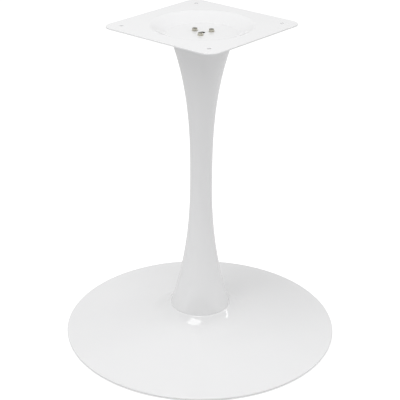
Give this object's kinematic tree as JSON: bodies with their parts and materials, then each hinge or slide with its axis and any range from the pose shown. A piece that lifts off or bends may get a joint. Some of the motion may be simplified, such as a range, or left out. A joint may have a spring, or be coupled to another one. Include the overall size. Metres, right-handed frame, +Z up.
{
  "type": "pedestal table base",
  "caption": "White pedestal table base: a round spun steel foot, a waisted trumpet-shaped column and a square dished top plate that screws under a tabletop.",
  "frame": {"origin": "on the floor at the middle of the foot", "axes": "+Z up along the column, the top plate's edges along X and Y"},
  "size_m": [0.6, 0.6, 0.705],
  "materials": {
    "white_coat": "gloss powder coat",
    "plain_steel": "plain mill finish",
    "zinc_plate": "bright zinc with a light yellow tint",
    "nylon": "moulded, matt"
  },
  "bodies": {
    "root": {"base_shell": "white_coat", "base_backing_disc": "white_coat", "column_shell": "white_coat", "column_foot_flange": "plain_steel", "column_head_flange": "plain_steel", "top_plate": "white_coat", "top_washer_1": "zinc_plate", "top_washer_2": "zinc_plate", "top_washer_3": "zinc_plate", "top_screw_1": "zinc_plate", "top_screw_2": "zinc_plate", "top_screw_3": "zinc_plate", "base_washer_1": "zinc_plate", "base_washer_2": "zinc_plate", "base_washer_3": "zinc_plate", "base_screw_1": "zinc_plate", "base_screw_2": "zinc_plate", "base_screw_3": "zinc_plate", "floor_glide_1": "nylon", "floor_glide_2": "nylon", "floor_glide_3": "nylon", "floor_glide_4": "nylon", "floor_glide_5": "nylon", "floor_glide_6": "nylon"}
  },
  "joints": []
}
